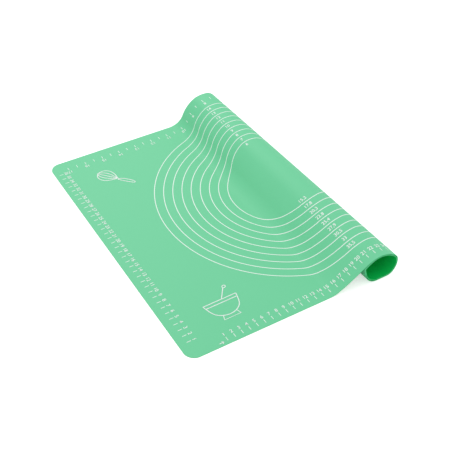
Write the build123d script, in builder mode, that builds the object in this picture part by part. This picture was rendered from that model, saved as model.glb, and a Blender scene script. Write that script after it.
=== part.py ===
from build123d import *
import os
from math import acos, cos, pi, radians, sin

# Baking mat: one thin printed silicone sheet that lies flat at the left, climbs over a crown and
# rolls up under itself at the right. Millimetres, +Z up, +X along the mat, +Y across it.
# The origin is the middle of the underside of the flat stretch.

# The sheet
mat_length = 500.0
mat_width = 400.0
mat_thickness = 0.8
corner_radius = 14.0
flat_length = 186.0  # from the left edge to the line where the sheet leaves the table
ramp_length = 78.0  # from there, along the sheet, to the top of the roll
layer_gap = 0.6  # air between two turns of the roll
seam_gap = 0.05  # between the ramp and the roll at the crown
overrun = 8.0  # the roll is made this much too wide, and its leaning ends are then cut
rim_lean = 0.125  # how far the ends of the roll lean to the front, per length down from the crown

# The rise to the crown: shares of ramp_length, and the turn of each stretch at both edges
ramp_step_shares = (0.13, 0.23, 0.33, 0.155, 0.155)
near_turns = (24, 8, 3, -14, -21)
far_turns = (19, 48, -32, -25, -15)
outer_steps = 3  # the stretches that no later turn lies under

# The roll: radii of its crown, shoulder, side, heel and return bends, as shares of the crown's height
near_radius_shares = (0.97, 0.21, 0.52, 0.54, 0.12)
far_radius_shares = (0.48, 0.41, 0.51, 0.51, 0.23)
shoulder_heading = -45

# The print
ink_thickness = 0.25  # thicker than real print, so that a mesh of it keeps its volume
ink_lift = 0.02  # hair of air under the ink, so that two ruled faces never cross
line_width = 1.0
print_turn = 0.77  # the print sits a little askew on the sheet
ink_clearance = 0.5  # bare sheet on both sides of a bend line

ring_count = 9
ring_radius = 169.1
ring_step = 12.15
ring_stretches = 12  # a ring's side is drawn through this many stretches, between two bend lines

centimetre = 10.0
half_inch = 12.7
tick_length = 5.3
digit_height = 4.6
digit_width = 2.6
digit_gap = 0.9
digit_line = 0.6

near_ruler_edge = 192.7  # from the print's centre to the outer ends of the ticks
near_ruler_zero = 211.4
near_ruler_count = 30
left_ruler_edge = 242.0
left_ruler_zero = 181.8
left_ruler_count = 36
far_ruler_edge = 188.0
far_ruler_zero = 205.8
far_ruler_count = 34
numeral_drop = 9.5  # from the outer ends of the ticks to the middle of the numerals
arrow_length = 6.0
arrow_width = 3.6
arrow_place = 209.5  # from the print's centre to the middle of the arrow, leftwards

label_inset = 5.9  # from each ring inwards to the middle of its two labels
metric_label_shift = 4.5  # the metric labels sit this much left of the middle

picture_line = 1.2
bowl_place = (-178.0, -141.0)  # from the print's centre
bowl_width = 44.0
bowl_height = 48.0
whisk_place = (-179.0, 134.0)
whisk_width = 22.0
whisk_length = 56.0
whisk_lean = 40  # degrees to the left

# Strokes of the numerals: shares of a digit's width and height, from its lower left corner
digit_shares = {
    "0": [[(0.3, 0), (0, 0.25), (0, 0.75), (0.3, 1), (0.7, 1), (1, 0.75), (1, 0.25), (0.7, 0), (0.3, 0)]],
    "1": [[(0.1, 0.75), (0.55, 1), (0.55, 0)]],
    "2": [[(0, 0.8), (0.3, 1), (0.75, 1), (1, 0.75), (0, 0), (1, 0)]],
    "3": [[(0, 1), (1, 1), (0.45, 0.6), (1, 0.4), (0.8, 0), (0, 0.05)]],
    "4": [[(0.75, 0), (0.75, 1), (0, 0.3)], [(0, 0.3), (1, 0.3)]],
    "5": [[(1, 1), (0.1, 1), (0.1, 0.55), (0.8, 0.6), (1, 0.2), (0.6, 0), (0, 0.1)]],
    "6": [[(0.9, 1), (0.2, 0.75), (0, 0.25), (0.3, 0), (0.8, 0), (1, 0.3)], [(1, 0.3), (0.7, 0.55), (0, 0.4)]],
    "7": [[(0, 1), (1, 1), (0.35, 0)]],
    "8": [
        [(0.5, 0.55), (0.1, 0.8), (0.5, 1), (0.9, 0.8), (0.5, 0.55)],
        [(0.5, 0.55), (0, 0.25), (0.5, 0), (1, 0.25), (0.5, 0.55)],
    ],
    "9": [[(0.1, 0), (0.8, 0.25), (1, 0.75), (0.7, 1), (0.2, 1), (0, 0.7)], [(0, 0.7), (0.3, 0.45), (1, 0.6)]],
    ",": [[(0.6, 0.12), (0.3, -0.25)]],
}
metric_labels = ("35,5", "33", "30,5", "27,9", "25,4", "22,8", "20,3", "17,8", "15,2")
imperial_labels = ("14", "13", "12", "11", "10", "9", "8", "7", "6")

# Outlines of the arrow and the two kitchen pictures: shares of their width and height, from their middle
arrow_shares = [[(-0.5, 0), (0.5, 0)], [(0.1, 0.5), (0.5, 0), (0.1, -0.5)]]
bowl_shares = [
    [(-0.5, 0.12), (0.5, 0.12)],
    [(-0.5, 0.12), (-0.44, -0.16), (-0.28, -0.34), (0, -0.42), (0.28, -0.34), (0.44, -0.16), (0.5, 0.12)],
    [(-0.48, 0.02), (0.48, 0.02)],
    [(-0.2, -0.37), (-0.25, -0.5), (0.25, -0.5), (0.2, -0.37)],
    [(0.06, 0.12), (0.3, 0.42)],
    [(0.3, 0.42), (0.3, 0.5), (0.4, 0.5), (0.4, 0.42), (0.3, 0.42)],
]
whisk_shares = [
    [(0, -0.05), (-0.5, 0.14), (-0.46, 0.4), (0, 0.5), (0.46, 0.4), (0.5, 0.14), (0, -0.05)],
    [(0, -0.05), (-0.24, 0.16), (-0.22, 0.4), (0, 0.5), (0.22, 0.4), (0.24, 0.16), (0, -0.05)],
    [(0, -0.07), (0, 0.5)],
    [(-0.1, -0.07), (-0.13, -0.5), (0.13, -0.5), (0.1, -0.07), (-0.1, -0.07)],
]

layer_pitch = mat_thickness + layer_gap
crown_at = flat_length + ramp_length
shift_x = -flat_length / 2
shift_y = -mat_width / 2


# Paths: a pose is (x, z, heading in radians), a stretch is (length, turn in radians)
def pose_after(pose, stretch, share=1):
    """The pose after a share of a stretch, which is straight or an arc."""
    x, z, heading = pose
    length, turn = stretch[0] * share, stretch[1] * share
    if turn == 0:
        return x + length * cos(heading), z + length * sin(heading), heading
    radius = length / turn
    end = heading + turn
    return x + radius * (sin(end) - sin(heading)), z - radius * (cos(end) - cos(heading)), end


def poses_along(pose, stretches):
    """The poses at the start of a path and after each of its stretches."""
    poses = [pose]
    for stretch in stretches:
        poses.append(pose_after(poses[-1], stretch))
    return poses


def bend(radius, turn):
    """A downward bend of the given radius through a positive angle."""
    return radius * turn, -turn


def sheet_path(turns, radius_shares):
    """The path of the printed face at one edge of the mat: ramp stretches, and the roll's stretches."""
    ramp = [(ramp_length * share, radians(turn)) for share, turn in zip(ramp_step_shares, turns)]
    rise = poses_along((flat_length, mat_thickness, 0), ramp)
    branch, crown = rise[outer_steps], rise[-1]
    crown_radius, shoulder_radius, side_radius, heel_radius, return_radius = (
        crown[1] * share for share in radius_shares
    )
    shoulder = radians(shoulder_heading)
    crown_bend = bend(crown_radius, crown[2] - shoulder)
    shoulder_bend = bend(shoulder_radius, shoulder + pi / 2)
    side_bend = bend(side_radius, pi / 2)
    heel_bend = bend(heel_radius, pi / 2)
    return_bend = bend(return_radius, pi / 2 - branch[2])
    # The first turn closes one layer inside the point where the ramp's own second turn begins.
    close_x = branch[0] + layer_pitch * sin(branch[2])
    close_z = branch[1] - layer_pitch * cos(branch[2])
    side_x, side_z, _ = poses_along(crown, [crown_bend, shoulder_bend])[-1]
    return_x, return_z, _ = pose_after((0, 0, pi / 2), return_bend)
    drop = (side_z - side_radius, 0)
    floor_run = (side_x - side_radius - heel_radius + return_x - close_x, 0)
    climb = (close_z - return_z - heel_radius, 0)
    loop = [crown_bend, shoulder_bend, drop, side_bend, floor_run, heel_bend, climb, return_bend]
    return ramp, loop


def tightened(stretches, layers):
    """The same stretches, that many layers further in."""
    return [(length + layers * layer_pitch * turn, turn) for length, turn in stretches]


def path_length(stretches):
    return sum(length for length, _ in stretches)


def roll_paths():
    """The roll's whole path at both edges: the first turn, and full or part turns inside it."""
    turn_parts = [near_ramp[outer_steps:] + near_loop, far_ramp[outer_steps:] + far_loop]
    rolls = [list(near_loop), list(far_loop)]
    remaining = mat_length - crown_at - path_length(near_loop)
    layers = 1
    while remaining > 0:
        turns = [tightened(part, layers) for part in turn_parts]
        for near_stretch, far_stretch in zip(*turns):
            share = min(1, remaining / near_stretch[0])
            for roll, (length, turn) in zip(rolls, (near_stretch, far_stretch)):
                roll.append((length * share, turn * share))
            remaining -= near_stretch[0]
            if remaining <= 0:
                break
        layers += 1
    return rolls


near_ramp, near_loop = sheet_path(near_turns, near_radius_shares)
far_ramp, far_loop = sheet_path(far_turns, far_radius_shares)
near_roll, far_roll = roll_paths()
lift_off = (flat_length, mat_thickness, 0)
near_crown = poses_along(lift_off, near_ramp)[-1]
far_crown = poses_along(lift_off, far_ramp)[-1]


def between(near_value, far_value, across):
    """A value between the near edge (0) and the far edge (1) of the mat, or a little past them."""
    return near_value + (far_value - near_value) * across


def path_between(near_path, far_path, across):
    return [
        tuple(between(near_part, far_part, across) for near_part, far_part in zip(near_stretch, far_stretch))
        for near_stretch, far_stretch in zip(near_path, far_path)
    ]


def pose_between(near_pose, far_pose, across):
    return tuple(between(near_part, far_part, across) for near_part, far_part in zip(near_pose, far_pose))


def beside(pose, rise):
    """The point at a height above the printed face, square to it, in the model's frame."""
    x, z, heading = pose
    return shift_x + x - rise * sin(heading), z + rise * cos(heading)


def draw_side(pose, stretches, rise):
    """One long side of a strip: arcs and lines at a height above the printed face."""
    for stretch in stretches:
        start = beside(pose, rise)
        middle = beside(pose_after(pose, stretch, 0.5), rise)
        pose = pose_after(pose, stretch)
        end = beside(pose, rise)
        if stretch[1] == 0:
            Line(start, end)
        else:
            ThreePointArc(start, middle, end)


def draw_strip(pose, stretches, rise, depth):
    """The closed outline between two heights above the printed face, along a path."""
    last = poses_along(pose, stretches)[-1]
    with BuildLine() as outline:
        draw_side(pose, stretches, rise)
        Line(beside(last, rise), beside(last, rise - depth))
        draw_side(pose, stretches, rise - depth)
        Line(beside(pose, rise), beside(pose, rise - depth))
    make_face(outline.edges())


def side_plane(y):
    """The upright plane across the mat at y, looking along +Y."""
    return Plane.XZ.offset(-(shift_y + y))


def finish(built, name):
    built.part.label = name
    export_step(built.part, f"parts/{name}.step")


os.makedirs("parts", exist_ok=True)

# The flat stretch, with its two rounded corners
with BuildPart() as flat_panel:
    with BuildSketch():
        Rectangle(flat_length, mat_width)
    extrude(amount=mat_thickness)
    fillet(flat_panel.edges().filter_by(Axis.Z).group_by(Axis.X)[0], radius=corner_radius)
finish(flat_panel, "flat_panel")

# The ramp, ruled between its near and far outlines
with BuildPart() as ramp:
    with BuildSketch(side_plane(0)):
        draw_strip(lift_off, near_ramp, 0, mat_thickness)
    with BuildSketch(side_plane(mat_width)):
        draw_strip(lift_off, far_ramp, 0, mat_thickness)
    loft(ruled=True)
finish(ramp, "ramp")


def rim_plane(y, crown):
    """The leaning plane that cuts an end of the roll."""
    origin = (shift_x + crown[0], shift_y + y, crown[1])
    return Plane(origin=origin, z_dir=(0, 1, -rim_lean))


def shortened(pose, stretches, share):
    """The same path without that share of its first stretch."""
    rest = tuple(part * (1 - share) for part in stretches[0])
    return pose_after(pose, stretches[0], share), [rest] + stretches[1:]


# The roll, made too wide, then cut by its two leaning planes
with BuildPart() as roll:
    for across in (-overrun / mat_width, 1 + overrun / mat_width):
        crown = pose_between(near_crown, far_crown, across)
        path = path_between(near_roll, far_roll, across)
        with BuildSketch(side_plane(mat_width * across)):
            draw_strip(*shortened(crown, path, seam_gap / near_roll[0][0]), 0, mat_thickness)
    loft(ruled=True)
    split(bisect_by=rim_plane(0, near_crown), keep=Keep.TOP)
    split(bisect_by=rim_plane(mat_width, far_crown), keep=Keep.BOTTOM)
finish(roll, "roll")


# The print: places are (u, v) from its centre, u along the mat and v across it
def on_sheet(u, v):
    """Where a point of the print lies on the flat sheet, from its left and front edges."""
    turn = radians(print_turn)
    along = mat_length / 2 + u * cos(turn) - v * sin(turn)
    return along, mat_width / 2 + u * sin(turn) + v * cos(turn)


def point_on_path(near_path, far_path, poses, along, across):
    """The x and z of the printed face at a length along it, on the straight line between both edges."""
    reached = flat_length
    for near_stretch, far_stretch in zip(near_path, far_path):
        length = between(near_stretch[0], far_stretch[0], across)
        ends = [
            pose_after(pose, stretch, (along - reached) / length)
            for pose, stretch in zip(poses, (near_stretch, far_stretch))
        ]
        if along <= reached + length:
            break
        reached += length
        poses = [pose_after(poses[0], near_stretch), pose_after(poses[1], far_stretch)]
    return between(ends[0][0], ends[1][0], across), between(ends[0][1], ends[1][1], across)


def in_plan(u, v):
    """The point of the print seen from above, on the sheet as it lies and rolls."""
    along, y = on_sheet(u, v)
    if along <= flat_length:
        return shift_x + along, shift_y + y
    across = y / mat_width
    paths = near_ramp + near_loop, far_ramp + far_loop
    x, z = point_on_path(*paths, [lift_off, lift_off], along, across)
    if along > crown_at:
        y += rim_lean * (z - between(near_crown[1], far_crown[1], across))
    return shift_x + x, shift_y + y


def ink_skin(pose_pairs, near_path, far_path, across_limits):
    """The ink's layer on a whole zone, from which the marks are then cut."""
    with BuildPart() as skin:
        for across in across_limits:
            pose = pose_between(*pose_pairs, across)
            with BuildSketch(side_plane(mat_width * across)):
                path = path_between(near_path, far_path, across)
                draw_strip(pose, path, ink_lift + ink_thickness, ink_thickness)
        loft(ruled=True)
    return skin.part


def inset(poses, paths):
    """The start poses and paths of both edges without the bare margin at each end."""
    first = ink_clearance / min(path[0][0] for path in paths)
    last = ink_clearance / min(path[-1][0] for path in paths)
    cut = []
    for pose, path in zip(poses, paths):
        path = path[:-1] + [tuple(part * (1 - last) for part in path[-1])]
        cut.append(shortened(pose, path, first))
    return [pose for pose, _ in cut], cut[0][1], cut[1][1]


flat_run = [(flat_length - ink_clearance, 0)]
flat_start = (0, mat_thickness, 0)
wide_limits = (-overrun / mat_width, 1 + overrun / mat_width)
zones = {
    "flat": (0, flat_length, ink_skin([flat_start, flat_start], flat_run, flat_run, (0, 1))),
    "ramp": (
        flat_length,
        crown_at,
        ink_skin(*inset([lift_off, lift_off], [near_ramp, far_ramp]), (0, 1)),
    ),
    "roll": (
        crown_at,
        crown_at + min(near_loop[0][0], far_loop[0][0]),
        ink_skin(*inset([near_crown, far_crown], [near_loop[:1], far_loop[:1]]), wide_limits),
    ),
}
ink_top = max(near_crown[1], far_crown[1]) + layer_pitch


def print_on(zone, name, draw):
    """One group of marks on one zone of the sheet, cut from the zone's layer of ink."""
    start, end, skin = zones[zone]
    with BuildPart() as marks:
        with BuildSketch():
            draw(start, end)
        extrude(amount=ink_top)
        add(skin, mode=Mode.INTERSECT)
    finish(marks, f"{name}_{zone}")


def draw_strokes(strokes, width):
    """Lines of a given width through points of the print."""
    for points in strokes:
        with BuildLine() as line:
            Polyline(*[in_plan(u, v) for u, v in points])
        trace(line.edges(), line_width=width)


def ring_side(radius, side, start, end):
    """Points of a ring's near (-1) or far (1) half between two lengths along the mat."""
    centre = mat_length / 2
    first = acos(max(-1, (start - centre) / radius))
    last = acos(min(1, (end - centre) / radius))
    angles = [first + (last - first) * step / ring_stretches for step in range(ring_stretches + 1)]
    turn = radians(print_turn)
    return [in_plan(radius * cos(side * a - turn), radius * sin(side * a - turn)) for a in angles]


def draw_ring(radius, start, end):
    """A printed ring between two lengths along the mat, one band on each side of its centre."""
    start, end = start - ink_clearance, end + ink_clearance
    for side in (-1, 1):
        outer = ring_side(radius + line_width / 2, side, start, end)
        inner = ring_side(radius - line_width / 2, side, start, end)
        with BuildLine() as band:
            Spline(*outer)
            Line(outer[-1], inner[-1])
            Spline(*inner)
            Line(inner[0], outer[0])
        make_face(band.edges())


def draw_flat_ring(radius):
    """The whole ring as it would lie on the flat sheet: the flat zone's layer cuts it."""
    with Locations((shift_x + mat_length / 2, shift_y + mat_width / 2)):
        Circle(radius + line_width / 2)
        Circle(radius - line_width / 2, mode=Mode.SUBTRACT)


for ring in range(ring_count):
    radius = ring_radius - ring * ring_step
    print_on("flat", f"circle_{ring + 1}", lambda start, end: draw_flat_ring(radius))
    for zone in ("ramp", "roll"):
        print_on(zone, f"circle_{ring + 1}", lambda start, end: draw_ring(radius, start, end))


# Rulers and numerals: a mark is (middle, strokes), with all its points in the print's (u, v)
def placed(origin, up, points):
    """Points drawn upright about an origin, turned so that their up points along the given way."""
    right = (up[1], -up[0])
    return [
        (origin[0] + x * right[0] + y * up[0], origin[1] + x * right[1] + y * up[1]) for x, y in points
    ]


def numeral(text, middle, up):
    """The strokes of a number, centred on its middle."""
    pitch = digit_width + digit_gap
    left = -(len(text) * pitch - digit_gap) / 2
    strokes = []
    for place, digit in enumerate(text):
        for shares in digit_shares[digit]:
            points = [
                (left + place * pitch + x * digit_width, (y - 1 / 2) * digit_height) for x, y in shares
            ]
            strokes.append(placed(middle, up, points))
    return middle, strokes


def ruler(zero, along, inward, step, count, numbered_every):
    """Ticks and numerals of one ruler, from the outer end of its zero tick."""
    ticks, numerals = [], []
    for tick in range(1, count + 1):
        outer = (zero[0] + along[0] * step * tick, zero[1] + along[1] * step * tick)
        ends = [(outer[0] + inward[0] * depth, outer[1] + inward[1] * depth) for depth in (0, tick_length)]
        ticks.append((outer, [ends]))
        if tick % numbered_every == 0:
            middle = (outer[0] + inward[0] * numeral_drop, outer[1] + inward[1] * numeral_drop)
            numerals.append(numeral(str(tick // numbered_every), middle, inward))
    return ticks, numerals


def print_marks(name, marks, width, zone_names):
    """A group of marks, shared out to the zones of the sheet on which they lie."""
    for zone in zone_names:
        start, end, _ = zones[zone]
        reach = digit_width + digit_height
        strokes = [
            stroke
            for middle, group in marks
            if start - reach < on_sheet(*middle)[0] < end + reach
            for stroke in group
        ]
        print_on(zone, name, lambda start, end: draw_strokes(strokes, width))


near_ticks, near_numerals = ruler(
    (-near_ruler_zero, -near_ruler_edge), (1, 0), (0, 1), centimetre, near_ruler_count, 1
)
left_ticks, left_numerals = ruler(
    (-left_ruler_edge, -left_ruler_zero), (0, 1), (1, 0), centimetre, left_ruler_count, 1
)
far_ticks, far_numerals = ruler(
    (far_ruler_zero, far_ruler_edge), (-1, 0), (0, -1), half_inch, far_ruler_count, 2
)
all_zones = ("flat", "ramp", "roll")
print_marks("near_ruler_ticks", near_ticks, line_width, all_zones)
print_marks("near_ruler_numerals", near_numerals, digit_line, all_zones)
print_marks("left_ruler_ticks", left_ticks, line_width, ("flat",))
print_marks("left_ruler_numerals", left_numerals, digit_line, ("flat",))
print_marks("far_ruler_ticks", far_ticks, line_width, all_zones)
print_marks("far_ruler_numerals", far_numerals, digit_line, all_zones)

label_radii = [ring_radius - ring * ring_step - label_inset for ring in range(ring_count)]
metric_marks = [
    numeral(text, (-metric_label_shift, -radius), (0, 1)) for text, radius in zip(metric_labels, label_radii)
]
imperial_marks = [numeral(text, (0, radius), (0, 1)) for text, radius in zip(imperial_labels, label_radii)]
print_marks("metric_circle_sizes", metric_marks, digit_line, ("ramp",))
print_marks("imperial_circle_sizes", imperial_marks, digit_line, ("ramp",))


# The small arrow that points along the near ruler, and two kitchen pictures
def picture(shares_list, middle, width, height, lean=0):
    """The strokes of a picture from its shares, about its middle, leaning to the left in degrees."""
    up = (-sin(radians(lean)), cos(radians(lean)))
    strokes = [
        placed(middle, up, [(x * width, y * height) for x, y in shares]) for shares in shares_list
    ]
    return middle, strokes


arrow = picture(arrow_shares, (-arrow_place, -near_ruler_edge), arrow_length, arrow_width)
bowl = picture(bowl_shares, bowl_place, bowl_width, bowl_height)
whisk = picture(whisk_shares, whisk_place, whisk_width, whisk_length, whisk_lean)
print_marks("start_arrow", [arrow], line_width, ("flat",))
print_marks("bowl_picture", [bowl], picture_line, ("flat",))
print_marks("whisk_picture", [whisk], picture_line, ("flat",))
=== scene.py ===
"""A silicone baking mat, flat at one end and rolled up at the other, with its printed rulers and circles."""

from math import cos, pi, radians, sin

import bmesh
import bpy
from mathutils import Matrix, Vector


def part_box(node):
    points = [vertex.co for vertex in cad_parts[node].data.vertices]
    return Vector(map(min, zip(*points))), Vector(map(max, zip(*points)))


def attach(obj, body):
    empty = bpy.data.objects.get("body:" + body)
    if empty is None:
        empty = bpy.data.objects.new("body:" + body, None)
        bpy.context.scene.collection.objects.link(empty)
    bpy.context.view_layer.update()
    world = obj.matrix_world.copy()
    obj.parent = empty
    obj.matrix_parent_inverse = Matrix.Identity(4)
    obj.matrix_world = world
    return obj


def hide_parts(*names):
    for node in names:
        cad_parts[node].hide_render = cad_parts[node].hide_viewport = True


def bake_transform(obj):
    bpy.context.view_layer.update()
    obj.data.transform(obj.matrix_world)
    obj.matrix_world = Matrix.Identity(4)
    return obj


bl_info = {
    "name": "Rolled baking mat",
    "version": (1, 0, 0),
    "blender": (4, 5, 0),
    "location": "View3D > Sidebar > Baking mat",
    "description": "Adds a printed silicone baking mat and its stage",
    "category": "Add Mesh",
}

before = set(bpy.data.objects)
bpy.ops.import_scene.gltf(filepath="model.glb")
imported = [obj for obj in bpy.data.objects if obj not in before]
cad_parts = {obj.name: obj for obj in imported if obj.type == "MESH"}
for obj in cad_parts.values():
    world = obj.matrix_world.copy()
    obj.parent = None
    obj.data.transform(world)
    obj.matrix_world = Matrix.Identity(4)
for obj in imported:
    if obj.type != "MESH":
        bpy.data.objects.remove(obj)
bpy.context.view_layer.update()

MM = 0.001
panel_low, panel_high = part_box("flat_panel")

# The rise to the crown: shares of the ramp's length, and the turn of each stretch at both edges
RAMP_STEP_SHARES = (0.13, 0.23, 0.33, 0.155, 0.155)
NEAR_TURNS = (24, 8, 3, -14, -21)
FAR_TURNS = (19, 48, -32, -25, -15)
OUTER_STEPS = 3
# The roll's bends, as shares of the crown's height
NEAR_RADIUS_SHARES = (0.97, 0.21, 0.52, 0.54, 0.12)
FAR_RADIUS_SHARES = (0.48, 0.41, 0.51, 0.51, 0.23)
SHOULDER_HEADING = radians(-45)

METRIC_LABELS = ("35,5", "33", "30,5", "27,9", "25,4", "22,8", "20,3", "17,8", "15,2")
IMPERIAL_LABELS = ("14", "13", "12", "11", "10", "9", "8", "7", "6")
# Outlines of the two kitchen pictures: shares of their width and height, from their middle
BOWL_SHARES = (
    ((-0.5, 0.12), (0.5, 0.12)),
    ((-0.5, 0.12), (-0.44, -0.16), (-0.28, -0.34), (0, -0.42), (0.28, -0.34), (0.44, -0.16), (0.5, 0.12)),
    ((-0.48, 0.02), (0.48, 0.02)),
    ((-0.2, -0.37), (-0.25, -0.5), (0.25, -0.5), (0.2, -0.37)),
    ((0.06, 0.12), (0.3, 0.42)),
    ((0.3, 0.42), (0.3, 0.5), (0.4, 0.5), (0.4, 0.42), (0.3, 0.42)),
)
WHISK_SHARES = (
    ((0, -0.05), (-0.5, 0.14), (-0.46, 0.4), (0, 0.5), (0.46, 0.4), (0.5, 0.14), (0, -0.05)),
    ((0, -0.05), (-0.24, 0.16), (-0.22, 0.4), (0, 0.5), (0.22, 0.4), (0.24, 0.16), (0, -0.05)),
    ((0, -0.07), (0, 0.5)),
    ((-0.1, -0.07), (-0.13, -0.5), (0.13, -0.5), (0.1, -0.07), (-0.1, -0.07)),
)
ARROW_SHARES = (((-0.5, 0), (0.5, 0)), ((0.1, 0.5), (0.5, 0), (0.1, -0.5)))
# Outline, place from the print's centre, width and height, line width, all in millimetres, and lean
PICTURES = {
    "start_arrow": (ARROW_SHARES, (-209.5, -192.7), (6, 3.6), 1.0, 0),
    "bowl_picture": (BOWL_SHARES, (-178, -141), (44, 48), 1.2, 0),
    "whisk_picture": (WHISK_SHARES, (-179, 134), (22, 56), 1.2, radians(40)),
}

CAD_ZONES = {"front": "flat", "crest": "ramp", "roll": "roll"}
CAD_SHEETS = {"front": "flat_panel", "crest": "ramp", "roll": "roll"}
CORNER_STEPS = 12
RING_SEGMENTS = 720
TICK_ROWS = 4
# The built-in typeface's digits stand about this share of its size high.
DIGIT_SHARE = 0.73
# A point this near a cutting plane, in metres, counts as on it.
CUT_DISTANCE = 1e-7


def length_prop(name, description, millimetres):
    return bpy.props.FloatProperty(
        name=name, description=description, default=millimetres * MM, unit="LENGTH", precision=5
    )


def hex_prop(name, description, value):
    return bpy.props.StringProperty(name=name, description=description, default=value)


class MatSizes(bpy.types.PropertyGroup):
    """Sizes of the sheet"""
    length: length_prop("Length", "Length of the mat when it lies flat", 500)
    width: bpy.props.FloatProperty(
        name="Width", description="Width of the mat", default=panel_high[1] - panel_low[1], unit="LENGTH"
    )
    flat_length: bpy.props.FloatProperty(
        name="Flat length", description="From the left edge to where the sheet leaves the table",
        default=panel_high[0] - panel_low[0], unit="LENGTH",
    )
    thickness: bpy.props.FloatProperty(
        name="Thickness", description="Thickness of the sheet",
        default=panel_high[2] - panel_low[2], unit="LENGTH", precision=5,
    )
    ramp_length: length_prop("Ramp length", "Along the sheet, from the table to the top of the roll", 78)
    layer_gap: length_prop("Layer gap", "Air between two turns of the roll", 0.6)
    corner_radius: length_prop("Corner radius", "Radius of the four corners", 14)
    rim_lean: bpy.props.FloatProperty(
        name="Rim lean", description="How far the roll's ends lean, per length below the crown", default=0.125
    )
    step: length_prop("Step", "Length of a facet along the mat", 1)
    cross_step: length_prop("Cross step", "Length of a facet across the mat", 10)
    front_end: length_prop("Front end", "Where the front piece ends, along the sheet", 227)
    crest_end: length_prop("Crest end", "Where the piece over the crown ends, along the sheet", 290)
    lift_blend: length_prop("Lift blend", "Length that bends where the sheet leaves the table", 20)
    crown_blend: length_prop("Crown blend", "Length that bends past the crown", 15)


class PrintSizes(bpy.types.PropertyGroup):
    """Sizes of the print"""
    turn: bpy.props.FloatProperty(
        name="Turn", description="The print sits a little askew", default=radians(0.77), subtype="ANGLE"
    )
    end: length_prop("End", "No ink past this length, where the sheet goes inside the roll", 371)
    line: length_prop("Line", "Width of the printed lines", 1.0)
    tick_line: length_prop("Tick line", "Width of the ruler ticks", 0.7)
    lift: length_prop("Lift", "Air under the ink", 0.02)
    thickness: length_prop("Ink thickness", "Thickness of the ink", 0.06)
    ring_count: bpy.props.IntProperty(name="Circles", description="Number of circles", default=9)
    ring_radius: length_prop("Circle radius", "Radius of the outermost circle", 169.1)
    ring_step: length_prop("Circle step", "From one circle to the next", 12.15)
    label_inset: length_prop("Label inset", "From each circle inwards to the middle of its sizes", 5.9)
    metric_label_shift: length_prop("Metric label shift", "How far left the metric sizes sit", 4.5)
    digit_height: length_prop("Digit height", "Height of the numerals", 5.0)
    digit_weight: length_prop("Digit weight", "How much bolder the numerals are than the typeface", 0.1)
    tick_length: length_prop("Tick length", "Length of the ruler ticks", 5.3)
    numeral_drop: length_prop("Numeral drop", "From the ticks' outer ends to the numerals' middle", 9.5)
    near_edge: length_prop("Near edge", "From the print's centre to the near ruler", 192.7)
    near_zero: length_prop("Near zero", "From the print's centre back to the near ruler's zero", 211.4)
    left_edge: length_prop("Left edge", "From the print's centre to the left ruler", 242)
    left_zero: length_prop("Left zero", "From the print's centre to the left ruler's zero", 181.8)
    far_edge: length_prop("Far edge", "From the print's centre to the far ruler", 188)
    far_zero: length_prop("Far zero", "From the print's centre to the far ruler's zero", 205.8)
    centimetre: length_prop("Centimetre", "Between ticks of the near and left rulers", 10)
    half_inch: length_prop("Half inch", "Between ticks of the far ruler", 12.7)
    near_count: bpy.props.IntProperty(name="Near ticks", description="Ticks of the near ruler", default=42)
    left_count: bpy.props.IntProperty(name="Left ticks", description="Ticks of the left ruler", default=36)
    far_count: bpy.props.IntProperty(name="Far ticks", description="Ticks of the far ruler", default=34)


class MatColours(bpy.types.PropertyGroup):
    """Colours, as sRGB hex values"""
    face: hex_prop("Printed face", "Silicone of the printed face", "#70D6A1")
    face_light: hex_prop("Printed face, light", "Paler patches of the printed face", "#73D9A4")
    # The underside's deep, saturated green is painted shade: it is deeper than the silicone's own colour and
    # stands in for the shade and green bounced light inside the roll.
    underside: hex_prop("Underside", "Silicone of the underside", "#00CC5C")
    rim: hex_prop("Rim", "Cut edge of the sheet", "#4FD68C")
    ink: hex_prop("Ink", "Printed ink", "#FAFFFC")
    ink_thin: hex_prop("Ink, thin", "Printed ink where it is thin", "#EEFFF6")
    floor: hex_prop("Floor", "Floor and background", "#F4F4F4")


class StageSizes(bpy.types.PropertyGroup):
    """Camera and lights"""
    azimuth: bpy.props.FloatProperty(
        name="Azimuth", description="Camera's angle round the mat", default=radians(-30.2908), subtype="ANGLE"
    )
    elevation: bpy.props.FloatProperty(
        name="Elevation", description="Camera's height angle", default=radians(41.0204), subtype="ANGLE"
    )
    roll: bpy.props.FloatProperty(
        name="Roll", description="Camera's tilt about its view", default=radians(-0.3721), subtype="ANGLE"
    )
    distance: length_prop("Distance", "From the camera to its target", 1110.04)
    target: bpy.props.FloatVectorProperty(
        name="Target", description="Where the camera looks", default=(0.053658, -0.026715, 0),
        subtype="TRANSLATION",
    )
    lens: bpy.props.FloatProperty(name="Lens", description="Focal length in millimetres", default=70.10)
    floor_reach: length_prop("Floor reach", "From the middle of the floor to its sides", 6000)
    floor_drop: length_prop("Floor drop", "How far the floor lies under the mat", 0.1)
    floor_glow: bpy.props.FloatProperty(
        name="Floor glow", description="What whitens the floor for the camera alone", default=0.55
    )
    world_light: bpy.props.FloatProperty(name="World light", description="Even studio light", default=0.82)
    key_place: bpy.props.FloatVectorProperty(
        name="Key place", description="Where the lamp hangs", default=(0.35, 1.5, 1.35), subtype="TRANSLATION"
    )
    key_size: length_prop("Key size", "Diameter of the lamp", 1200)
    key_power: bpy.props.FloatProperty(name="Key power", description="Power of the lamp in watts", default=8)


def sizes():
    return bpy.context.scene.mat_sizes


def print_sizes():
    return bpy.context.scene.print_sizes


def colours():
    return bpy.context.scene.mat_colours


# The path of the sheet: a pose is (x, z, heading), a stretch is (length, turn)
def pose_after(pose, stretch, share=1):
    """The pose after a share of a stretch, which is straight or an arc."""
    x, z, heading = pose
    length, turn = stretch[0] * share, stretch[1] * share
    if turn == 0:
        return x + length * cos(heading), z + length * sin(heading), heading
    radius = length / turn
    end = heading + turn
    return x + radius * (sin(end) - sin(heading)), z - radius * (cos(end) - cos(heading)), end


def bend(radius, turn):
    return radius * turn, -turn


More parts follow.
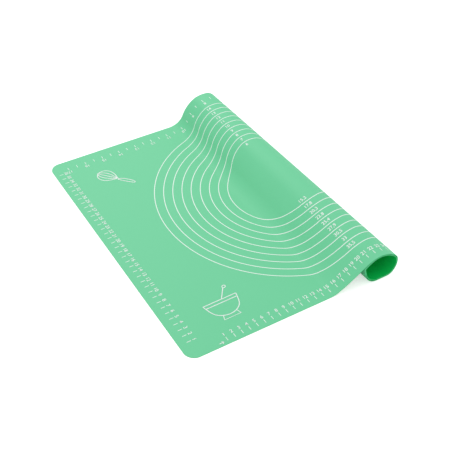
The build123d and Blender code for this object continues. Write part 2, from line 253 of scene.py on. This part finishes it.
def sheet_path(turns, radius_shares):
    """The printed face's path at one edge of the mat, as far as its length goes, as (length, turn)."""
    size = sizes()
    pitch = size.thickness + size.layer_gap
    path = [(size.ramp_length * share, radians(turn)) for share, turn in zip(RAMP_STEP_SHARES, turns)]
    poses = [(size.flat_length, size.thickness, 0)]
    for stretch in path:
        poses.append(pose_after(poses[-1], stretch))
    branch, crown = poses[OUTER_STEPS], poses[-1]
    crown_radius, shoulder_radius, side_radius, heel_radius, return_radius = (
        crown[1] * share for share in radius_shares
    )
    crown_bend = bend(crown_radius, crown[2] - SHOULDER_HEADING)
    shoulder_bend = bend(shoulder_radius, SHOULDER_HEADING + pi / 2)
    return_bend = bend(return_radius, pi / 2 - branch[2])
    close_x = branch[0] + pitch * sin(branch[2])
    close_z = branch[1] - pitch * cos(branch[2])
    side_x, side_z, _ = pose_after(pose_after(crown, crown_bend), shoulder_bend)
    return_x, return_z, _ = pose_after((0, 0, pi / 2), return_bend)
    first_turn = path[OUTER_STEPS:] + [
        crown_bend,
        shoulder_bend,
        (side_z - side_radius, 0),
        bend(side_radius, pi / 2),
        (side_x - side_radius - heel_radius + return_x - close_x, 0),
        bend(heel_radius, pi / 2),
        (close_z - return_z - heel_radius, 0),
        return_bend,
    ]
    path = path[:OUTER_STEPS] + first_turn
    for layers in (1, 2):
        path += [(length + layers * pitch * turn, turn) for length, turn in first_turn]
    return path, crown


class Roll:
    """Bends points of the flat sheet to where the flat, rising and rolled sheet holds them."""

    def __init__(self):
        size = sizes()
        self.start = (size.flat_length, size.thickness, 0)
        self.near, self.near_crown = sheet_path(NEAR_TURNS, NEAR_RADIUS_SHARES)
        self.far, self.far_crown = sheet_path(FAR_TURNS, FAR_RADIUS_SHARES)
        self.near_poses = self.poses(self.near)
        self.far_poses = self.poses(self.far)
        self.crown_at = size.flat_length + size.ramp_length
        self.found = {}

    def poses(self, path):
        poses = [self.start]
        for stretch in path:
            poses.append(pose_after(poses[-1], stretch))
        return poses

    def place(self, along, y):
        """(x, y, z, heading) of the printed face at a length along the sheet and a place across it."""
        size = sizes()
        if along <= size.flat_length:
            return along, y, size.thickness, 0
        key = round(along, 7), round(y, 7)
        if key in self.found:
            return self.found[key]
        across = y / size.width
        reached = size.flat_length
        for index, (near, far) in enumerate(zip(self.near, self.far)):
            length = near[0] + (far[0] - near[0]) * across
            if along <= reached + length or index == len(self.near) - 1:
                break
            reached += length
        share = (along - reached) / length
        ends = (
            pose_after(self.near_poses[index], near, share),
            pose_after(self.far_poses[index], far, share),
        )
        x, z, heading = (a + (b - a) * across for a, b in zip(*ends))
        if along > self.crown_at:
            crown_z = self.near_crown[1] + (self.far_crown[1] - self.near_crown[1]) * across
            y += size.rim_lean * (z - crown_z)
        self.found[key] = (x, y, z, heading)
        return self.found[key]

    def bend(self, bm):
        """Moves a flat mesh, whose z is the height above the printed face, to its bent place."""
        size = sizes()
        shift = Vector((panel_low[0], panel_low[1], 0))
        for vert in bm.verts:
            x, y, z, heading = self.place(vert.co.x, vert.co.y)
            rise = vert.co.z
            vert.co = shift + Vector((x - rise * sin(heading), y, z + rise * cos(heading)))


roll_shape = None


def the_roll():
    global roll_shape
    if roll_shape is None:
        roll_shape = Roll()
    return roll_shape


def cut(bm, place, normal, clear_outer=False, clear_inner=False):
    """Cuts the mesh along a plane, and clears one side if asked."""
    geom = bm.verts[:] + bm.edges[:] + bm.faces[:]
    bmesh.ops.bisect_plane(
        bm, geom=geom, dist=CUT_DISTANCE, plane_co=place, plane_no=normal,
        clear_outer=clear_outer, clear_inner=clear_inner,
    )


def keep_zone(bm, start, end):
    """Keeps what lies between two lengths along the flat sheet."""
    cut(bm, (start, 0, 0), (1, 0, 0), clear_inner=True)
    cut(bm, (end, 0, 0), (1, 0, 0), clear_outer=True)


def zones():
    """Name, start, end, the two bodies that a piece bends between and where, for the sheet's three pieces."""
    size, roll = sizes(), the_roll()
    lift = Vector((panel_low[0] + size.flat_length, 0, size.thickness))
    near = Vector((panel_low[0] + roll.near_crown[0], panel_low[1], roll.near_crown[1]))
    far = Vector((panel_low[0] + roll.far_crown[0], panel_high[1], roll.far_crown[1]))
    crown = (near + far) / 2
    past = Vector((far.y - near.y, near.x - far.x, 0)).normalized() * size.crown_blend
    return {
        "front": (0, size.front_end, ("flat", "ramp", lift, lift + Vector((size.lift_blend, 0, 0)))),
        "crest": (size.front_end, size.crest_end, ("ramp", "roll", crown, crown + past)),
        "roll": (size.crest_end, size.length, None),
    }


def hex_colour(value):
    """Linear RGBA from an sRGB hex value."""
    shares = [int(value[i:i + 2], 16) / 255 for i in (1, 3, 5)]
    return tuple(c / 12.92 if c <= 0.04045 else ((c + 0.055) / 1.055) ** 2.4 for c in shares) + (1,)


def node(tree, kind, links=(), **settings):
    """Adds a node with its settings, and links (output socket, input name) into it."""
    made = tree.nodes.new(kind)
    for name, value in settings.items():
        if name in made.inputs:
            made.inputs[name].default_value = value
        else:
            setattr(made, name, value)
    for socket, name in links:
        tree.links.new(socket, made.inputs[name])
    return made


def new_material(name):
    material = bpy.data.materials.new(name)
    material.use_nodes = True
    material.node_tree.nodes.clear()
    return material, material.node_tree


def silicone(name, main, patches, roughness, sheen):
    """Calendered silicone sheet: matt, with soft wide highlights and faint cloudy patches."""
    cloud_width, grain_width, grain_depth, gloss_spread = 70 * MM, 0.9 * MM, 0.03 * MM, 0.04
    material, tree = new_material(name)
    place = node(tree, "ShaderNodeTexCoord").outputs["Object"]
    clouds = node(tree, "ShaderNodeTexNoise", [(place, "Vector")], Scale=1 / cloud_width, Detail=2.0)
    grain = node(tree, "ShaderNodeTexNoise", [(place, "Vector")], Scale=1 / grain_width, Detail=3.0)
    colour = node(
        tree, "ShaderNodeMix", [(clouds.outputs["Fac"], "Factor")], data_type="RGBA"
    )
    colour.inputs[6].default_value = hex_colour(main)
    colour.inputs[7].default_value = hex_colour(patches)
    gloss = node(
        tree, "ShaderNodeMapRange", [(clouds.outputs["Fac"], "Value")],
        **{"To Min": roughness - gloss_spread, "To Max": roughness + gloss_spread},
    )
    bump = node(
        tree, "ShaderNodeBump", [(grain.outputs["Fac"], "Height")], Strength=0.25, Distance=grain_depth
    )
    shader = node(
        tree, "ShaderNodeBsdfPrincipled",
        [(colour.outputs[2], "Base Color"), (gloss.outputs[0], "Roughness"), (bump.outputs[0], "Normal")],
        IOR=1.41, **{"Sheen Weight": sheen},
    )
    node(tree, "ShaderNodeOutputMaterial", [(shader.outputs[0], "Surface")])
    return material


def printed_ink():
    """Screen-printed silicone ink: pale, smoother than the sheet and a little thin in places."""
    wear_width = 4 * MM
    material, tree = new_material("screen_printed_ink")
    place = node(tree, "ShaderNodeTexCoord").outputs["Object"]
    wear = node(tree, "ShaderNodeTexNoise", [(place, "Vector")], Scale=1 / wear_width, Detail=3.0)
    colour = node(tree, "ShaderNodeMix", [(wear.outputs["Fac"], "Factor")], data_type="RGBA")
    colour.inputs[6].default_value = hex_colour(colours().ink)
    colour.inputs[7].default_value = hex_colour(colours().ink_thin)
    shader = node(
        tree, "ShaderNodeBsdfPrincipled", [(colour.outputs[2], "Base Color")], Roughness=0.45, IOR=1.41
    )
    node(tree, "ShaderNodeOutputMaterial", [(shader.outputs[0], "Surface")])
    return material


def material(name, make):
    """The material of that name, made the first time it is asked for."""
    return bpy.data.materials.get(name) or make()


def ink():
    return material("screen_printed_ink", printed_ink)


def finish_piece(bm, name, materials, zone):
    """Bends a flat piece to its place and makes its object; a piece with no blend rides on the roll's body.
    """
    the_roll().bend(bm)
    mesh = bpy.data.meshes.new(name)
    bm.to_mesh(mesh)
    bm.free()
    for entry in materials:
        mesh.materials.append(entry)
    piece = bpy.data.objects.new(name, mesh)
    bpy.context.scene.collection.objects.link(piece)
    blend = zones()[zone][2]
    if blend:
        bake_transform(piece)
    else:
        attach(piece, "roll")
    return piece


def thicken(bm, low, high):
    """Turns flat faces at height zero into a closed layer between two heights, top faces up."""
    for vert in bm.verts:
        vert.co.z = low
    floor_faces = bm.faces[:]
    grown = bmesh.ops.extrude_face_region(bm, geom=floor_faces, use_keep_orig=True)["geom"]
    for vert in (part for part in grown if isinstance(part, bmesh.types.BMVert)):
        vert.co.z = high
    bmesh.ops.recalc_face_normals(bm, faces=bm.faces[:])


def round_corners(bm):
    """Cuts the four corners to their radius with planes along the tangents of the corner arcs."""
    size = sizes()
    radius = size.corner_radius
    for side_x, side_y in ((0, 0), (0, 1), (1, 0), (1, 1)):
        centre = Vector((
            size.length - radius if side_x else radius,
            size.width - radius if side_y else radius,
            0,
        ))
        for step in range(1, CORNER_STEPS):
            angle = pi / 2 * step / CORNER_STEPS
            out = Vector((cos(angle) * (1 if side_x else -1), sin(angle) * (1 if side_y else -1), 0))
            cut(bm, centre + out * radius, out, clear_outer=True)


class MESH_OT_add_mat_sheet(bpy.types.Operator):
    """Adds the silicone sheet in three pieces: flat front, crest and roll"""
    bl_idname = "mesh.add_mat_sheet"
    bl_label = "Add mat sheet"

    def execute(self, context):
        size = sizes()
        face = material("silicone_matt_face", lambda: silicone(
            "silicone_matt_face", colours().face, colours().face_light, 0.5, 0.0))
        # The underside material carries painted shade: its deep green stands in for the shade inside the
        # roll.
        underside = material("silicone_underside_painted_shade", lambda: silicone(
            "silicone_underside_painted_shade", colours().underside, colours().underside, 0.45, 0.0))
        rim = material("silicone_cut_edge", lambda: silicone(
            "silicone_cut_edge", colours().rim, colours().rim, 0.55, 0.0))
        for zone, (start, end, _) in zones().items():
            bm = bmesh.new()
            columns, rows = round(size.length / size.step), round(size.width / size.cross_step)
            bmesh.ops.create_grid(
                bm, x_segments=columns, y_segments=rows, size=0.5,
                matrix=Matrix.Translation((size.length / 2, size.width / 2, 0))
                @ Matrix.Diagonal((size.length, size.width, 1, 1)),
            )
            round_corners(bm)
            keep_zone(bm, start, end)
            thicken(bm, -size.thickness, 0)
            for part in bm.faces:
                part.smooth = True
                part.material_index = 2 if abs(part.normal.z) < 0.5 else (0 if part.normal.z > 0 else 1)
            for edge in bm.edges:
                if len({part.material_index for part in edge.link_faces}) > 1:
                    edge.smooth = False
            piece = finish_piece(bm, f"mat_{zone}", (face, underside, rim), zone)
            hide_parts(CAD_SHEETS[zone])
        return {"FINISHED"}


def print_matrix(u, v, up=(0, 1)):
    """Takes a mark drawn upright about its own origin to its place in the print, on the flat sheet."""
    size = sizes()
    right = Vector((up[1], -up[0], 0))
    turned = Matrix((right, (up[0], up[1], 0), (0, 0, 1))).transposed().to_4x4()
    centre = Matrix.Translation((size.length / 2, size.width / 2, 0))
    return centre @ Matrix.Rotation(print_sizes().turn, 4, "Z") @ Matrix.Translation((u, v, 0)) @ turned


def add_text(bm, text, matrix):
    """Adds a number as flat faces, centred on the matrix's place."""
    curve = bpy.data.curves.new("numeral", "FONT")
    curve.body = text
    curve.align_x = "CENTER"
    curve.align_y = "CENTER"
    curve.resolution_u = 3
    curve.size = print_sizes().digit_height / DIGIT_SHARE
    curve.offset = print_sizes().digit_weight
    holder = bpy.data.objects.new("numeral", curve)
    mesh = bpy.data.meshes.new_from_object(holder)
    mesh.transform(matrix)
    bm.from_mesh(mesh)
    bpy.data.objects.remove(holder)
    bpy.data.curves.remove(curve)
    bpy.data.meshes.remove(mesh)


def add_tick(bm, matrix):
    """Adds a ruler tick that runs inwards from the matrix's place, along its own +Y."""
    size = print_sizes()
    extent = Matrix.Diagonal((size.tick_line, size.tick_length, 1, 1))
    box = Matrix.Translation((0, size.tick_length / 2, 0)) @ extent
    bmesh.ops.create_grid(bm, x_segments=1, y_segments=TICK_ROWS, size=0.5, matrix=matrix @ box)


def add_lines(bm, shares, width, height, line, smooth, matrix):
    """Adds a drawing of lines of one width, through points given as shares of its width and height."""
    curve = bpy.data.curves.new("lines", "CURVE")
    curve.dimensions = "3D"
    curve.bevel_depth = line / 2
    curve.bevel_resolution = 1
    curve.use_fill_caps = True
    curve.resolution_u = 8
    for points in shares:
        spline = curve.splines.new("NURBS" if smooth and len(points) > 4 else "POLY")
        spline.points.add(len(points) - 1)
        for point, (x, y) in zip(spline.points, points):
            point.co = (x * width, y * height, 0, 1)
        if spline.type == "NURBS":
            spline.use_endpoint_u = True
            spline.order_u = 3
    holder = bpy.data.objects.new("lines", curve)
    mesh = bpy.data.meshes.new_from_object(holder)
    size = print_sizes()
    flatten = Matrix.Diagonal((1, 1, size.thickness / line, 1))
    mesh.transform(Matrix.Translation((0, 0, size.lift + size.thickness / 2)) @ matrix @ flatten)
    bm.from_mesh(mesh)
    bpy.data.objects.remove(holder)
    bpy.data.curves.remove(curve)
    bpy.data.meshes.remove(mesh)


def print_piece(draw, name, zone, cad_nodes, thick=True):
    """One group of marks on one piece of the sheet: drawn flat, cut to the piece, thickened and bent."""
    size, inks = sizes(), print_sizes()
    start, end, _ = zones()[zone]
    bm = bmesh.new()
    draw(bm)
    keep_zone(bm, start, min(end, inks.end))
    if not bm.faces:
        bm.free()
        return
    line = max(start, size.flat_length)
    while line < min(end, inks.end):
        cut(bm, (line, 0, 0), (1, 0, 0))
        line += size.step
    if thick:
        thicken(bm, inks.lift, inks.lift + inks.thickness)
    piece = finish_piece(bm, f"{name}_{zone}_print", (ink(),), zone)
    present = [entry for entry in cad_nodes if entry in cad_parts]
    if present:
        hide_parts(*present)


def print_everywhere(draw, name):
    """A group of marks that may reach over all three pieces of the sheet."""
    for zone, cad_zone in CAD_ZONES.items():
        print_piece(draw, name, zone, [f"{name}_{cad_zone}"])


def draw_ring(bm, radius):
    """A flat band round the print's centre."""
    line = print_sizes().line
    made = bmesh.ops.create_circle(
        bm, cap_ends=False, segments=RING_SEGMENTS, radius=radius - line / 2, matrix=print_matrix(0, 0)
    )
    edges = list({edge for vert in made["verts"] for edge in vert.link_edges})
    grown = bmesh.ops.extrude_edge_only(bm, edges=edges)["geom"]
    outer = [part for part in grown if isinstance(part, bmesh.types.BMVert)]
    centre = print_matrix(0, 0).translation
    share = (radius + line / 2) / (radius - line / 2)
    bmesh.ops.scale(bm, vec=(share, share, 1), verts=outer, space=Matrix.Translation(-centre))


class MESH_OT_add_print_circles(bpy.types.Operator):
    """Adds the printed pastry circles"""
    bl_idname = "mesh.add_print_circles"
    bl_label = "Add circles"

    def execute(self, context):
        size = print_sizes()
        for ring in range(size.ring_count):
            radius = size.ring_radius - ring * size.ring_step
            print_everywhere(lambda bm: draw_ring(bm, radius), f"circle_{ring + 1}")
        return {"FINISHED"}


def ruler_places(zero, along, inward, step, count, drop):
    """The matrices of a ruler's marks, counted from its zero, a given depth inwards from its edge."""
    return [
        (tick, print_matrix(zero[0] + along[0] * step * tick + inward[0] * drop,
                            zero[1] + along[1] * step * tick + inward[1] * drop, inward))
        for tick in range(1, count + 1)
    ]


class MESH_OT_add_print_rulers(bpy.types.Operator):
    """Adds the three printed rulers: ticks and numerals"""
    bl_idname = "mesh.add_print_rulers"
    bl_label = "Add rulers"

    def execute(self, context):
        size = print_sizes()
        near_zero = (-size.near_zero, -size.near_edge)
        left_zero = (-size.left_edge, -size.left_zero)
        far_zero = (size.far_zero, size.far_edge)
        # Zero, way along, way inwards, tick spacing, ticks, and how many ticks to a number
        rulers = {
            "near_ruler": (near_zero, (1, 0), (0, 1), size.centimetre, size.near_count, 1),
            "left_ruler": (left_zero, (0, 1), (1, 0), size.centimetre, size.left_count, 1),
            "far_ruler": (far_zero, (-1, 0), (0, -1), size.half_inch, size.far_count, 2),
        }
        for name, (zero, along, inward, step, count, numbered_every) in rulers.items():
            tick_places = ruler_places(zero, along, inward, step, count, 0)
            number_places = ruler_places(zero, along, inward, step, count, size.numeral_drop)

            def draw_ticks(bm):
                for _, matrix in tick_places:
                    add_tick(bm, matrix)

            def draw_numbers(bm):
                for tick, matrix in number_places:
                    if tick % numbered_every == 0:
                        add_text(bm, str(tick // numbered_every), matrix)

            print_everywhere(draw_ticks, f"{name}_ticks")
            print_everywhere(draw_numbers, f"{name}_numerals")
        return {"FINISHED"}


class MESH_OT_add_circle_sizes(bpy.types.Operator):
    """Adds the numbers that give the size of each circle"""
    bl_idname = "mesh.add_circle_sizes"
    bl_label = "Add circle sizes"

    def execute(self, context):
        size = print_sizes()
        rows = (
            ("metric", METRIC_LABELS, -1, -size.metric_label_shift),
            ("imperial", IMPERIAL_LABELS, 1, 0),
        )
        for name, labels, side, shift in rows:
            def draw(bm):
                for ring, text in enumerate(labels):
                    radius = size.ring_radius - ring * size.ring_step - size.label_inset
                    add_text(bm, text, print_matrix(shift, side * radius))
            print_piece(draw, f"{name}_circle_sizes", "crest", [f"{name}_circle_sizes_ramp"])
        return {"FINISHED"}


class MESH_OT_add_print_pictures(bpy.types.Operator):
    """Adds the small arrow and the two kitchen pictures"""
    bl_idname = "mesh.add_print_pictures"
    bl_label = "Add pictures"

    def execute(self, context):
        for name, (shares, middle, extent, line, lean) in PICTURES.items():
            matrix = print_matrix(middle[0] * MM, middle[1] * MM, (-sin(lean), cos(lean)))
            print_piece(
                lambda bm: add_lines(bm, shares, extent[0] * MM, extent[1] * MM, line * MM, True, matrix),
                name, "front", [f"{name}_flat"], thick=False,
            )
        return {"FINISHED"}


def area_light(name, place, aim, size, power):
    light = bpy.data.lights.new(name, "AREA")
    light.shape = "DISK"
    light.size = size
    light.energy = power
    lamp = bpy.data.objects.new(name, light)
    lamp.location = place
    lamp.rotation_euler = (Vector(aim) - Vector(place)).to_track_quat("-Z", "Y").to_euler()
    bpy.context.scene.collection.objects.link(lamp)


class MESH_OT_add_stage(bpy.types.Operator):
    """Adds the floor, the light and the camera"""
    bl_idname = "mesh.add_mat_stage"
    bl_label = "Add stage"

    def execute(self, context):
        scene, stage = context.scene, context.scene.stage_sizes
        scene.view_settings.view_transform = "Standard"

        bm = bmesh.new()
        # The floor is a hair lower than the sheet, so that their faces don't coincide.
        below = Matrix.Translation((0, 0, -stage.floor_drop))
        bmesh.ops.create_grid(bm, x_segments=1, y_segments=1, size=stage.floor_reach, matrix=below)
        mesh = bpy.data.meshes.new("floor")
        bm.to_mesh(mesh)
        bm.free()
        floor = bpy.data.objects.new("floor", mesh)
        scene.collection.objects.link(floor)
        floor_material, tree = new_material("studio_floor")
        light_path = node(tree, "ShaderNodeLightPath")
        matt = node(tree, "ShaderNodeBsdfDiffuse", Color=hex_colour(colours().floor))
        glow = node(tree, "ShaderNodeEmission", Strength=stage.floor_glow)
        both = node(tree, "ShaderNodeAddShader")
        tree.links.new(matt.outputs[0], both.inputs[0])
        tree.links.new(glow.outputs[0], both.inputs[1])
        mixed = node(tree, "ShaderNodeMixShader", [(light_path.outputs["Is Camera Ray"], "Fac")])
        tree.links.new(matt.outputs[0], mixed.inputs[1])
        tree.links.new(both.outputs[0], mixed.inputs[2])
        node(tree, "ShaderNodeOutputMaterial", [(mixed.outputs[0], "Surface")])
        mesh.materials.append(floor_material)

        world = bpy.data.worlds.new("studio")
        scene.world = world
        world.use_nodes = True
        tree = world.node_tree
        tree.nodes.clear()
        light_path = node(tree, "ShaderNodeLightPath")
        soft = node(tree, "ShaderNodeBackground", Strength=stage.world_light)
        white = node(tree, "ShaderNodeBackground", Strength=1.0)
        soft.inputs["Color"].default_value = (1, 1, 1, 1)
        white.inputs["Color"].default_value = (1, 1, 1, 1)
        mixed = node(tree, "ShaderNodeMixShader", [(light_path.outputs["Is Camera Ray"], "Fac")])
        tree.links.new(soft.outputs[0], mixed.inputs[1])
        tree.links.new(white.outputs[0], mixed.inputs[2])
        node(tree, "ShaderNodeOutputWorld", [(mixed.outputs[0], "Surface")])

        area_light("key", stage.key_place, (0, 0, 0), stage.key_size, stage.key_power)

        camera_data = bpy.data.cameras.new("camera")
        camera_data.lens = stage.lens
        camera_data.sensor_width = 36
        camera_data.sensor_fit = "HORIZONTAL"
        camera = bpy.data.objects.new("camera", camera_data)
        turn = (
            Matrix.Rotation(stage.azimuth, 4, "Z")
            @ Matrix.Rotation(pi / 2 - stage.elevation, 4, "X")
            @ Matrix.Rotation(stage.roll, 4, "Z")
        )
        back = turn @ Vector((0, 0, stage.distance))
        camera.matrix_world = Matrix.Translation(Vector(stage.target) + back) @ turn
        scene.collection.objects.link(camera)
        scene.camera = camera
        return {"FINISHED"}


class VIEW3D_PT_baking_mat(bpy.types.Panel):
    """Lists the steps that build the mat"""
    bl_label = "Baking mat"
    bl_space_type = "VIEW_3D"
    bl_region_type = "UI"
    bl_category = "Baking mat"

    def draw(self, context):
        for operator in OPERATORS:
            self.layout.operator(operator.bl_idname)


GROUPS = {
    "mat_sizes": MatSizes,
    "print_sizes": PrintSizes,
    "mat_colours": MatColours,
    "stage_sizes": StageSizes,
}
OPERATORS = (
    MESH_OT_add_mat_sheet,
    MESH_OT_add_print_circles,
    MESH_OT_add_print_rulers,
    MESH_OT_add_circle_sizes,
    MESH_OT_add_print_pictures,
    MESH_OT_add_stage,
)


def register():
    for cls in (*GROUPS.values(), *OPERATORS, VIEW3D_PT_baking_mat):
        bpy.utils.register_class(cls)
    for name, group in GROUPS.items():
        setattr(bpy.types.Scene, name, bpy.props.PointerProperty(type=group))


def unregister():
    for name in GROUPS:
        delattr(bpy.types.Scene, name)
    for cls in (VIEW3D_PT_baking_mat, *reversed(OPERATORS), *GROUPS.values()):
        bpy.utils.unregister_class(cls)


def main():
    register()
    bpy.ops.mesh.add_mat_sheet()
    bpy.ops.mesh.add_print_circles()
    bpy.ops.mesh.add_print_rulers()
    bpy.ops.mesh.add_circle_sizes()
    bpy.ops.mesh.add_print_pictures()
    bpy.ops.mesh.add_mat_stage()
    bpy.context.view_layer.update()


if __name__ == "__main__":
    main()
